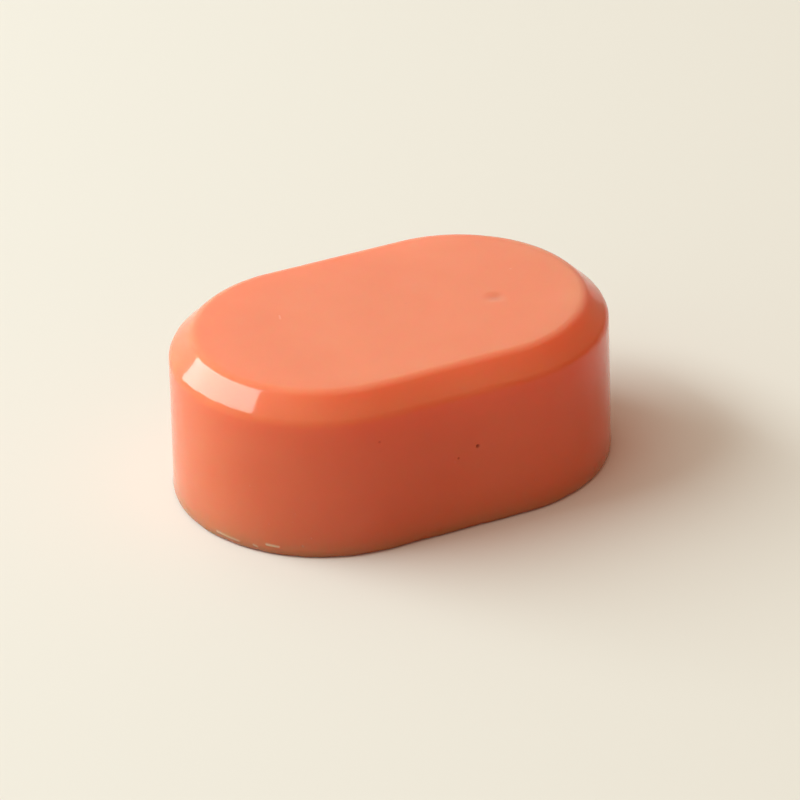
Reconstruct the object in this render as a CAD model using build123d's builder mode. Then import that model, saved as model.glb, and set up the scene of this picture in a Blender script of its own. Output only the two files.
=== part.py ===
"""A bar of glycerine soap, poured hot into an obround mould and turned out when set.

It is one casting: a flat top, a bevel all round it, upright walls with a trace of draft, and a
flat base, which was the open face of the mould.

Frame: the origin is at the middle of the base, +X runs along the bar and +Z points up.
Sizes are in millimetres, and angles in degrees.
"""

import os

from build123d import *

# The bar, as it comes out of the mould
LENGTH = 80.0  # over the two round ends, at the base
WIDTH = 54.4  # across the straight walls, at the base
HEIGHT = 30.4  # base to top face
DRAFT = 0.6  # lean of the walls from upright, so that the bar leaves its mould

# The bevel round the top, which was the floor of the mould
BEVEL = 4.2  # leg, alike across and down
BEVEL_EASE = 1.3  # radius where the bevel meets the top, and where it meets the wall

# The edge round the base, where the soap drew in from the mould as it cooled
FOOT_EASE = 0.8  # radius

# A shallow sink mark in the top face, left as the middle of the bar set last
DENT_X = 18.4  # from the middle of the bar
DENT_Y = -4.2
DENT_WIDTH = 5.0  # across its rim
DENT_DEPTH = 0.2


def make_bar():
    """The whole casting, as one solid."""
    with BuildPart() as bar:
        with BuildSketch(Plane.XY):
            SlotOverall(LENGTH, WIDTH)
        extrude(amount=HEIGHT, taper=DRAFT)

        top_ring = bar.faces().sort_by(Axis.Z)[-1].edges()
        chamfer(top_ring, length=BEVEL)

        # Rows of edges by height: the top's ring, then the bevel's seams, then the walls' ring
        rows = bar.edges().group_by(Axis.Z)
        fillet(rows[-1] + rows[-3], radius=BEVEL_EASE)

        base_ring = bar.edges().group_by(Axis.Z)[0]
        fillet(base_ring, radius=FOOT_EASE)

        # The sink mark is the cap of a large ball that just reaches into the top face
        ball_radius = ((DENT_WIDTH / 2) ** 2 + DENT_DEPTH**2) / (2 * DENT_DEPTH)
        with Locations((DENT_X, DENT_Y, HEIGHT - DENT_DEPTH + ball_radius)):
            Sphere(ball_radius, mode=Mode.SUBTRACT)
    return bar


soap_bar = make_bar()
soap_bar.part.label = "soap_bar"

os.makedirs("parts", exist_ok=True)
export_step(soap_bar.part, "parts/soap_bar.step")
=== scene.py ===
"""The looks of a cast bar of glycerine soap, in metres, in the frame of its CAD model."""

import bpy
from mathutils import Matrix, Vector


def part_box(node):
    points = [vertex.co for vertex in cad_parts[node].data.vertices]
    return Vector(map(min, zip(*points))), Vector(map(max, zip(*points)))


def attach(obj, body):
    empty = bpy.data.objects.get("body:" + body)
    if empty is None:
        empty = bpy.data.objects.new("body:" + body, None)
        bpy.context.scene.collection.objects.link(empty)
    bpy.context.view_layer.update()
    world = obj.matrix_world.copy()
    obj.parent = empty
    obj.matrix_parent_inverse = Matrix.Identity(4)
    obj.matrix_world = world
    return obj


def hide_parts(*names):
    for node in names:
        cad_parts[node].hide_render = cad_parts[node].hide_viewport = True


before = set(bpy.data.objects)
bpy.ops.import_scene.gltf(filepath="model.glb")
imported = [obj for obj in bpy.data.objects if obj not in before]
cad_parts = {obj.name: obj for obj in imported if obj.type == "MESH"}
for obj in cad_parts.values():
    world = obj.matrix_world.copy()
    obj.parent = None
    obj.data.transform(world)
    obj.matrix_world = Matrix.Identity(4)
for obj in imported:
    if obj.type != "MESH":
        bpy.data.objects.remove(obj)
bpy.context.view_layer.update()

import math

import bmesh
import bpy
from mathutils import Matrix, Quaternion, Vector, noise


# ---- The bar ---------------------------------------------------------------------------------
# One casting of translucent glycerine soap, dyed coral. It was poured hot into an obround mould
# whose floor had a bevelled rim, shrank a little as it set, and was turned out onto its base,
# which was the open face of the mould and has the rougher edge.

MM = 0.001

bar_low, bar_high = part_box("soap_bar")
bar_length = bar_high.x - bar_low.x
bar_width = bar_high.y - bar_low.y
bar_height = bar_high.z - bar_low.z
end_radius = bar_width / 2
end_centre = (bar_length - bar_width) / 2
perimeter = 4 * end_centre + 2 * math.pi * end_radius

DRAFT = math.radians(0.6)
BEVEL = 4.2 * MM
BEVEL_TILT = 45  # degrees
WALL_EASE = 2.4 * MM  # where the bevel meets the wall
TOP_EASE = 2.6 * MM  # where it meets the top
FOOT_EASE = 0.8 * MM

RIM = 0.12 * MM  # how far the foot's rolled rim stands out from the wall above it
RIM_HEIGHT = 1.4 * MM
RIM_SPREAD = 0.45 * MM

# How finely each stretch of the section is divided, and then the way round the outline
UNDERSIDE_STEPS = 6
FOOT_STEPS = 8
WALL_STEPS = 50
LOW_EASE_STEPS = 8
BEVEL_STEPS = 12
HIGH_EASE_STEPS = 10
TOP_STEPS = 24
STATIONS = 640


def arc(centre, radius, start, stop, steps):
    """Points of a section's arc, as (inset, height), from one angle to another in degrees."""
    points = []
    for step in range(steps + 1):
        angle = math.radians(start + (stop - start) * step / steps)
        points.append((centre[0] - radius * math.cos(angle), centre[1] + radius * math.sin(angle)))
    return points


def line(start, stop, steps):
    """Points between two ends of a section's line, without the ends."""
    points = []
    for step in range(1, steps):
        share = step / steps
        points.append(
            (start[0] + (stop[0] - start[0]) * share, start[1] + (stop[1] - start[1]) * share)
        )
    return points


def bar_section():
    """The bar's section from the middle of the base, up its side, to the middle of the top.

    Each point is (inset from the widest outline, height above the base).
    """
    lean = math.degrees(DRAFT)
    foot = arc((FOOT_EASE, FOOT_EASE), FOOT_EASE, -90, lean, FOOT_STEPS)

    # Where the wall's line, the bevel's line and the top's line would meet if nothing was eased
    wall_top = ((bar_height - BEVEL) * math.tan(DRAFT), bar_height - BEVEL)
    bevel_top = (bar_height * math.tan(DRAFT) + BEVEL, bar_height)

    # Each ease is tangent to both of its lines
    half_turn_low = math.radians((BEVEL_TILT - lean) / 2)
    reach_low = WALL_EASE * math.tan(half_turn_low)
    low_start = (
        wall_top[0] - reach_low * math.sin(DRAFT),
        wall_top[1] - reach_low * math.cos(DRAFT),
    )
    low_centre = (
        low_start[0] + WALL_EASE * math.cos(DRAFT),
        low_start[1] - WALL_EASE * math.sin(DRAFT),
    )
    low_ease = arc(low_centre, WALL_EASE, lean, BEVEL_TILT, LOW_EASE_STEPS)

    reach_high = TOP_EASE * math.tan(math.radians(BEVEL_TILT / 2))
    high_centre = (bevel_top[0] + reach_high, bar_height - TOP_EASE)
    high_ease = arc(high_centre, TOP_EASE, BEVEL_TILT, 90, HIGH_EASE_STEPS)

    underside = line((end_radius - RIM, 0), foot[0], UNDERSIDE_STEPS)
    wall = line(foot[-1], low_ease[0], WALL_STEPS)
    bevel = line(low_ease[-1], high_ease[0], BEVEL_STEPS)
    top = line(high_ease[-1], (end_radius, bar_height), TOP_STEPS)
    return underside + foot + wall + low_ease + bevel + high_ease + top


def station(distance):
    """The spine point and outward direction at a distance round the widest outline.

    The distance starts at the middle of the back wall, and the bar's front is halfway round.
    """
    half_turn = math.pi * end_radius
    lengths = [end_centre, half_turn, 2 * end_centre, half_turn, end_centre]
    part = 0
    while part < len(lengths) - 1 and distance > lengths[part]:
        distance -= lengths[part]
        part += 1
    if part == 0:
        return Vector((-distance, 0, 0)), Vector((0, 1, 0))
    if part == 1:
        angle = math.pi / 2 + distance / end_radius
        return Vector((-end_centre, 0, 0)), Vector((math.cos(angle), math.sin(angle), 0))
    if part == 2:
        return Vector((distance - end_centre, 0, 0)), Vector((0, -1, 0))
    if part == 3:
        angle = -math.pi / 2 + distance / end_radius
        return Vector((end_centre, 0, 0)), Vector((math.cos(angle), math.sin(angle), 0))
    return Vector((end_centre - distance, 0, 0)), Vector((0, 1, 0))


def uneven(place, size, seed):
    """Slow unevenness from -1 to 1, with hills about size across."""
    return noise.noise(place / size + Vector((seed, 2 * seed, 3 * seed)))


def rim_stand(place, height):
    """How far the rolled rim stands out at this height: it comes and goes round the bar."""
    middle = RIM_HEIGHT + 0.3 * MM * uneven(place, 6 * MM, seed=5)
    fullness = 0.6 + 0.4 * uneven(place, 9 * MM, seed=9)
    return RIM * fullness * math.exp(-(((height - middle) / RIM_SPREAD) ** 2))


# How far the casting strays from true: over the wall, along the bevel's lower edge, on the top
WALL_SWAY = 0.05 * MM
WALL_SHRINK = 0.6  # of that sway: how far the wall has drawn in from the mould
BROW_SWAY = 0.06 * MM
BROW_SPREAD = 1.2 * MM
TOP_SAG = 0.03 * MM
FOOT_ZONE = 1.01 * FOOT_EASE  # takes in the whole of the foot's ease


def cast_point(inset, height, spine, outward):
    """A point of the section carried to one place round the bar, with a casting's unevenness."""
    foot_place = spine + outward * end_radius
    if height < FOOT_ZONE and inset < FOOT_ZONE:
        slow = 0.35 * uneven(foot_place, 5 * MM, seed=3)
        quick = 0.15 * uneven(foot_place, 1.6 * MM, seed=4)
        share = 0.95 + slow + quick
        inset *= share
        height *= share
    place = spine + outward * (end_radius - inset - RIM + rim_stand(foot_place, height))
    place.z = height
    if 0 < height < bar_height:
        place += outward * WALL_SWAY * (uneven(place, 11 * MM, seed=1) - WALL_SHRINK)
        brow = math.exp(-(((height - bar_height + BEVEL) / BROW_SPREAD) ** 2))
        place += outward * BROW_SWAY * brow * uneven(foot_place, 2.6 * MM, seed=6)
    if height > bar_height - BEVEL:
        place.z -= TOP_SAG * (1 + uneven(place, 14 * MM, seed=2))
    return place


def front_wall(x, height):
    """A point on the bar's front wall, from its place along the bar and its height, in mm."""
    past = max(abs(x * MM) - end_centre, 0)
    return Vector((x * MM, -math.sqrt(end_radius**2 - past**2) + RIM, height * MM))


def top_face(x, y):
    """A point on the top face, from its place in mm."""
    return Vector((x * MM, y * MM, bar_height))


# Each round mark has its place, its width and depth in mm, and how much painted shade (below 0)
# or painted highlight (above 0) is put on its surface. This one is where the soap drew away from
# the mould as it set, with faint painted shade in its dent.
SINK = (top_face(18.4, -4.2), 5.0, 0.2, -0.12)

# Pits where bubbles touched the mould: painted shade darkens the deep ones, and a painted glint
# lightens the small pale specks
PITS = [
    (front_wall(-14.8, 21.6), 0.9, 0.35, -0.8),
    (front_wall(3.6, 15.9), 1.1, 0.4, -1.0),
    (front_wall(-0.1, 14.5), 0.7, 0.3, -0.9),
    (front_wall(-0.8, 13.9), 0.6, 0.2, 0.35),
    (front_wall(9.0, 15.2), 0.45, 0.12, 0.3),
    (front_wall(22.6, 14.7), 0.55, 0.12, 0.4),
    (front_wall(-34.6, 12.8), 0.6, 0.14, 0.7),
    (front_wall(-33.7, 11.6), 0.4, 0.1, 0.3),
    (front_wall(-35.6, 6.2), 0.5, 0.12, 0.3),
    (front_wall(-28.1, 11.9), 0.5, 0.14, 0.5),
    (front_wall(-28.8, 8.7), 0.5, 0.14, 0.6),
    (front_wall(-29.2, 7.0), 0.45, 0.12, 0.5),
    (front_wall(-32.4, 6.0), 0.6, 0.12, 0.4),
    (front_wall(-26.6, 4.0), 0.5, 0.12, 0.6),
    (front_wall(-27.9, 2.4), 0.7, 0.16, 0.5),
    (front_wall(28.4, 1.9), 0.9, 0.2, 0.4),
    (front_wall(14.5, 6.2), 0.5, 0.12, 0.3),
    (top_face(25.4, 3.7), 0.6, 0.08, 0.3),
]

# Scratches (deep), and burrs (raised, so with a negative depth): both ends, then as the pits. A
# negative last column paints shade in the mark, a positive one a highlight on it.
SCORES = [
    (front_wall(-4.1, 22.8), front_wall(-3.8, 21.2), 0.5, 0.06, -0.35),
    (front_wall(-17.7, 20.5), front_wall(-16.6, 20.6), 0.45, -0.06, 0.3),
    (front_wall(-31.2, 15.9), front_wall(-31.0, 14.8), 0.45, 0.08, 0.4),
    (front_wall(-31.0, 14.8), front_wall(-30.3, 14.9), 0.45, 0.08, 0.3),
    (front_wall(-32.8, 1.9), front_wall(-31.2, 1.8), 0.7, -0.16, 1.0),
    (front_wall(-38.2, 1.4), front_wall(-36.0, 1.2), 0.7, -0.14, 0.7),
    (front_wall(-34.4, 1.3), front_wall(-33.9, 1.1), 0.6, -0.12, 0.8),
    (front_wall(-21.3, 27.6), front_wall(-21.2, 26.6), 1.3, -0.1, 0.35),
    (top_face(-18.1, 6.0), top_face(-17.7, 7.1), 0.45, -0.05, 0.4),
]

SINK_CUTS = 1  # how often each face's edge is cut across a mark
MARK_CUTS = 3
MARK_MARGIN = 0.35 * MM  # how far past a mark its faces are split
WELD = 0.01 * MM


def near_mark(place, start, stop):
    """How far a place is from a mark that runs from start to stop."""
    along = stop - start
    share = 0.0
    if along.length > 0:
        share = min(max((place - start).dot(along) / along.length_squared, 0), 1)
    return (place - start - along * share).length


def press_marks(mesh, marks):
    """Splits the faces at each mark finely, then presses the mark into them and paints shade or a
    highlight on it.
    """
    for start, stop, width, depth, painted_light, cuts in marks:
        reach = width / 2 + MARK_MARGIN
        faces = [f for f in mesh.faces if near_mark(f.calc_center_median(), start, stop) < reach]
        edges = set(edge for face in faces for edge in face.edges)
        bmesh.ops.subdivide_edges(mesh, edges=list(edges), cuts=cuts, use_grid_fill=True)
    mesh.normal_update()
    # Each vertex holds how much painted shade (below 0) or painted highlight (above 0) it gets
    painted_light_layer = mesh.verts.layers.float.new("painted_light_strength")
    for start, stop, width, depth, painted_light, cuts in marks:
        steps = []
        for vert in mesh.verts:
            share = near_mark(vert.co, start, stop) / (width / 2)
            if share < 1:
                strength = 0.5 + 0.5 * math.cos(math.pi * share)
                steps.append((vert, vert.normal * depth * strength))
                vert[painted_light_layer] += painted_light * strength
        for vert, step in steps:
            vert.co -= step


def make_bar():
    """The casting as one mesh: its section carried round the outline, with its marks in it."""
    mesh = bmesh.new()
    rings = []
    for inset, height in bar_section():
        ring = []
        for index in range(STATIONS):
            spine, outward = station(perimeter * index / STATIONS)
            ring.append(mesh.verts.new(cast_point(inset, height, spine, outward)))
        rings.append(ring)
    for lower, upper in zip(rings, rings[1:]):
        for index in range(STATIONS):
            after = (index + 1) % STATIONS
            mesh.faces.new((lower[index], lower[after], upper[after], upper[index]))
    bmesh.ops.remove_doubles(mesh, verts=rings[0] + rings[-1], dist=WELD)
    bmesh.ops.holes_fill(mesh, edges=[e for e in mesh.edges if e.is_boundary], sides=0)
    bmesh.ops.recalc_face_normals(mesh, faces=mesh.faces)

    place, width, depth, painted_light = SINK
    marks = [(place, place, width * MM, depth * MM, painted_light, SINK_CUTS)]
    for place, width, depth, painted_light in PITS:
        marks.append((place, place, width * MM, depth * MM, painted_light, MARK_CUTS))
    for start, stop, width, depth, painted_light in SCORES:
        marks.append((start, stop, width * MM, depth * MM, painted_light, MARK_CUTS))
    press_marks(mesh, marks)

    for face in mesh.faces:
        face.smooth = True
    data = bpy.data.meshes.new("cast_soap")
    mesh.to_mesh(data)
    mesh.free()
    piece = bpy.data.objects.new("cast_soap", data)
    bpy.context.scene.collection.objects.link(piece)
    return piece


DEEP_DYE = (0.815, 0.205, 0.098, 1)
PALE_DYE = (0.835, 0.225, 0.110, 1)
# Painted shade for pits, scratches and the sink mark, and a painted highlight for burrs and pale
# specks
PAINTED_SHADE = (0.20, 0.014, 0.006, 1)
PAINTED_HIGHLIGHT = (0.95, 0.52, 0.38, 1)
LIGHT_REACH = 13 * MM  # how far red light goes through the soap
LIGHT_SHARES = (1.0, 0.14, 0.07)  # of that reach, for red, green and blue light
CLEAN_ROUGHNESS = 0.07
HANDLED_ROUGHNESS = 0.15


def soap_finish():
    """Translucent coral soap, glossy where it lay on the mould, with painted shade in its pits and
    painted highlights on its burrs.
    """
    material = bpy.data.materials.new("coral_glycerine_soap")
    material.use_nodes = True
    nodes = material.node_tree.nodes
    links = material.node_tree.links
    shader = nodes["Principled BSDF"]
    shader.inputs["IOR"].default_value = 1.47
    shader.inputs["Specular IOR Level"].default_value = 0.35
    shader.inputs["Subsurface Weight"].default_value = 1.0
    shader.inputs["Subsurface Radius"].default_value = LIGHT_SHARES
    shader.inputs["Subsurface Scale"].default_value = LIGHT_REACH

    place = nodes.new("ShaderNodeTexCoord")

    def grain(size, detail, stretch=1.0):
        """Noise with hills about size across, drawn out upwards by stretch."""
        mapping = nodes.new("ShaderNodeMapping")
        mapping.inputs["Scale"].default_value = (1 / size, 1 / size, 1 / size / stretch)
        links.new(place.outputs["Object"], mapping.inputs["Vector"])
        texture = nodes.new("ShaderNodeTexNoise")
        texture.inputs["Scale"].default_value = 1.0
        texture.inputs["Detail"].default_value = detail
        links.new(mapping.outputs["Vector"], texture.inputs["Vector"])
        return texture.outputs["Fac"]

    # The dye is not quite evenly stirred in
    dye = nodes.new("ShaderNodeValToRGB")
    dye.color_ramp.elements[0].position = 0.35
    dye.color_ramp.elements[0].color = DEEP_DYE
    dye.color_ramp.elements[1].position = 0.65
    dye.color_ramp.elements[1].color = PALE_DYE
    links.new(grain(18 * MM, 2.0), dye.inputs["Fac"])

    # Painted shade darkens the pits and scratches, and painted highlights lighten the burrs and
    # broken skin
    painted_light_strength = nodes.new("ShaderNodeAttribute")
    painted_light_strength.attribute_name = "painted_light_strength"
    below = dye.outputs["Color"]
    for sign, painted_colour in ((-1, PAINTED_SHADE), (1, PAINTED_HIGHLIGHT)):
        share = nodes.new("ShaderNodeMath")
        share.operation = "MULTIPLY"
        share.use_clamp = True
        share.inputs[1].default_value = sign
        links.new(painted_light_strength.outputs["Fac"], share.inputs[0])
        painted_light_mix = nodes.new("ShaderNodeMix")
        painted_light_mix.data_type = "RGBA"
        painted_light_mix.inputs["B"].default_value = painted_colour
        links.new(share.outputs["Value"], painted_light_mix.inputs["Factor"])
        links.new(below, painted_light_mix.inputs["A"])
        below = painted_light_mix.outputs["Result"]
    links.new(below, shader.inputs["Base Color"])

    # Handling has dulled the gloss a little in places
    gloss = nodes.new("ShaderNodeMapRange")
    gloss.inputs["From Min"].default_value = 0.35
    gloss.inputs["From Max"].default_value = 0.7
    gloss.inputs["To Min"].default_value = CLEAN_ROUGHNESS
    gloss.inputs["To Max"].default_value = HANDLED_ROUGHNESS
    links.new(grain(5 * MM, 4.0), gloss.inputs["Value"])
    links.new(gloss.outputs["Result"], shader.inputs["Roughness"])

    # Faint ripples left by the mould, streaks from drawing the bar out, and a fine skin
    surface = None
    for hills, depth in (
        (grain(7 * MM, 1.0), 0.020 * MM),
        (grain(1.2 * MM, 2.0, stretch=25), 0.0016 * MM),
        (grain(0.5 * MM, 2.0), 0.0008 * MM),
    ):
        bump = nodes.new("ShaderNodeBump")
        bump.inputs["Distance"].default_value = depth
        bump.inputs["Strength"].default_value = 1.0
        links.new(hills, bump.inputs["Height"])
        if surface:
            links.new(surface, bump.inputs["Normal"])
        surface = bump.outputs["Normal"]
    links.new(surface, shader.inputs["Normal"])
    return material


soap = make_bar()
soap.data.materials.append(soap_finish())
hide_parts("soap_bar")
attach(soap, "root")


# ---- The floor -------------------------------------------------------------------------------
# A large sheet of smooth cream card that the bar lies on. The light that it throws back at the
# bar is cut down and warmed, so that the bar's shaded side stays deep and red.

FLOOR_SIZE = 6.0
FLOOR_GAP = 0.05 * MM
CARD = (0.80, 0.73, 0.71, 1)
CARD_BOUNCE = (0.44, 0.15, 0.09, 1)


def make_floor():
    """A flat square, a hair below the bar's base."""
    half = FLOOR_SIZE / 2
    data = bpy.data.meshes.new("floor")
    corners = [(-half, -half, 0), (half, -half, 0), (half, half, 0), (-half, half, 0)]
    data.from_pydata(corners, [], [(0, 1, 2, 3)])
    sheet = bpy.data.objects.new("floor", data)
    sheet.location.z = -FLOOR_GAP
    bpy.context.scene.collection.objects.link(sheet)
    return sheet


def card_finish():
    """Matt cream card, darker and warmer for the light that it throws back."""
    material = bpy.data.materials.new("cream_card")
    material.use_nodes = True
    nodes = material.node_tree.nodes
    links = material.node_tree.links
    shader = nodes["Principled BSDF"]
    shader.inputs["Roughness"].default_value = 0.8
    shader.inputs["Specular IOR Level"].default_value = 0.15
    path = nodes.new("ShaderNodeLightPath")
    colour = nodes.new("ShaderNodeMix")
    colour.data_type = "RGBA"
    colour.inputs["A"].default_value = CARD
    colour.inputs["B"].default_value = CARD_BOUNCE
    links.new(path.outputs["Is Diffuse Ray"], colour.inputs["Factor"])
    links.new(colour.outputs["Result"], shader.inputs["Base Color"])
    return material


floor = make_floor()
floor.data.materials.append(card_finish())


# ---- The light -------------------------------------------------------------------------------
# One long softbox, which leans from low behind the bar to high on its left, in a room that
# fills the shade with a weaker, warmer light. The fill is strongest from low behind on the left.

def direction(azimuth, elevation):
    """The way to a place in the sky, from its azimuth (from +X) and elevation in degrees."""
    azimuth = math.radians(azimuth)
    elevation = math.radians(elevation)
    flat = math.cos(elevation)
    return Vector((math.cos(azimuth) * flat, math.sin(azimuth) * flat, math.sin(elevation)))


SOFTBOX_LOW_END = direction(120, 18)
SOFTBOX_HIGH_END = direction(178, 50)
SOFTBOX_REACH = 1.4
SOFTBOX_WIDTH = 0.42
SOFTBOX_POWER = 19.5
SOFTBOX_COLOUR = (0.83, 1.00, 0.98)


def hang_softbox():
    """A strip of light at SOFTBOX_REACH that runs between its two ends and faces the bar."""
    light = bpy.data.lights.new("softbox", "AREA")
    light.shape = "RECTANGLE"
    light.size = SOFTBOX_REACH * 2 * math.tan(SOFTBOX_LOW_END.angle(SOFTBOX_HIGH_END) / 2)
    light.size_y = SOFTBOX_WIDTH
    light.energy = SOFTBOX_POWER
    light.color = SOFTBOX_COLOUR
    lamp = bpy.data.objects.new("softbox", light)
    facing = (SOFTBOX_LOW_END + SOFTBOX_HIGH_END).normalized()
    length_way = (SOFTBOX_HIGH_END - SOFTBOX_LOW_END).normalized()
    turn = Matrix((length_way, facing.cross(length_way), facing)).transposed()
    lamp.location = facing * SOFTBOX_REACH
    lamp.rotation_mode = "QUATERNION"
    lamp.rotation_quaternion = turn.to_quaternion()
    bpy.context.scene.collection.objects.link(lamp)


ROOM_SEEN = (0.90, 0.84, 0.75, 1)

# The room's fill and its gloss: each is brightest one way and dim away from it, and starts to
# brighten where the cosine of the angle to that way reaches its start
FILL_WAY = direction(155, 25)
FILL_START = 0.0
FILL_DIM = (0.47, 0.24, 0.14, 1)
FILL_BRIGHT = (0.97, 1.19, 1.02, 1)
GLOSS_WAY = direction(100, 40)
GLOSS_START = 0.1
GLOSS_DIM = (0.06, 0.18, 0.11, 1)
GLOSS_BRIGHT = (1.01, 1.25, 1.13, 1)
BRIGHTEST_FROM = 0.95


def pale_room():
    """A room with one glow for gloss, one for all other light, and a plain look to the camera."""
    room = bpy.data.worlds.new("room")
    room.use_nodes = True
    nodes = room.node_tree.nodes
    links = room.node_tree.links
    way = nodes.new("ShaderNodeTexCoord")
    path = nodes.new("ShaderNodeLightPath")

    def glow(brightest_way, start, dim, bright):
        """A colour that goes smoothly from dim to bright towards one way."""
        towards = nodes.new("ShaderNodeVectorMath")
        towards.operation = "DOT_PRODUCT"
        towards.inputs[1].default_value = brightest_way
        links.new(way.outputs["Generated"], towards.inputs[0])
        share = nodes.new("ShaderNodeMapRange")
        share.interpolation_type = "SMOOTHSTEP"
        share.inputs["From Min"].default_value = start
        share.inputs["From Max"].default_value = BRIGHTEST_FROM
        links.new(towards.outputs["Value"], share.inputs["Value"])
        colour = nodes.new("ShaderNodeMix")
        colour.data_type = "RGBA"
        colour.inputs["A"].default_value = dim
        colour.inputs["B"].default_value = bright
        links.new(share.outputs["Result"], colour.inputs["Factor"])
        return colour.outputs["Result"]

    def choose(ray, other):
        """A mix that shows other to every ray but one kind, which sees what goes into its B."""
        colour = nodes.new("ShaderNodeMix")
        colour.data_type = "RGBA"
        links.new(path.outputs[ray], colour.inputs["Factor"])
        links.new(other, colour.inputs["A"])
        return colour

    lit = choose("Is Glossy Ray", glow(FILL_WAY, FILL_START, FILL_DIM, FILL_BRIGHT))
    links.new(glow(GLOSS_WAY, GLOSS_START, GLOSS_DIM, GLOSS_BRIGHT), lit.inputs["B"])
    seen = choose("Is Camera Ray", lit.outputs["Result"])
    seen.inputs["B"].default_value = ROOM_SEEN
    links.new(seen.outputs["Result"], nodes["Background"].inputs["Color"])
    return room


hang_softbox()
bpy.context.scene.world = pale_room()


# ---- The camera ------------------------------------------------------------------------------
# A long lens that looks down on the bar from the front and a little to the left, tipped by a
# degree or so. Its line of sight passes through the bar's middle and meets the floor at AIM.

AIM = Vector((10.4 * MM, 19.0 * MM, 0))
SWING = math.radians(-24.86)
RISE = math.radians(29.71)
ROLL = math.radians(-1.5)
CAMERA_REACH = 0.9017
LENS = 225  # mm, as is the sensor's width
SENSOR = 36
NEAREST = 0.01

camera_data = bpy.data.cameras.new("camera")
camera_data.lens = LENS
camera_data.sensor_width = SENSOR
camera_data.clip_start = NEAREST
camera = bpy.data.objects.new("camera", camera_data)
back = Vector(
    (math.sin(SWING) * math.cos(RISE), -math.cos(SWING) * math.cos(RISE), math.sin(RISE))
)
camera.location = AIM + back * CAMERA_REACH
camera.rotation_mode = "QUATERNION"
camera.rotation_quaternion = back.to_track_quat("Z", "Y") @ Quaternion((0, 0, 1), ROLL)
bpy.context.scene.collection.objects.link(camera)
bpy.context.scene.camera = camera

bpy.context.scene.view_settings.view_transform = "Standard"
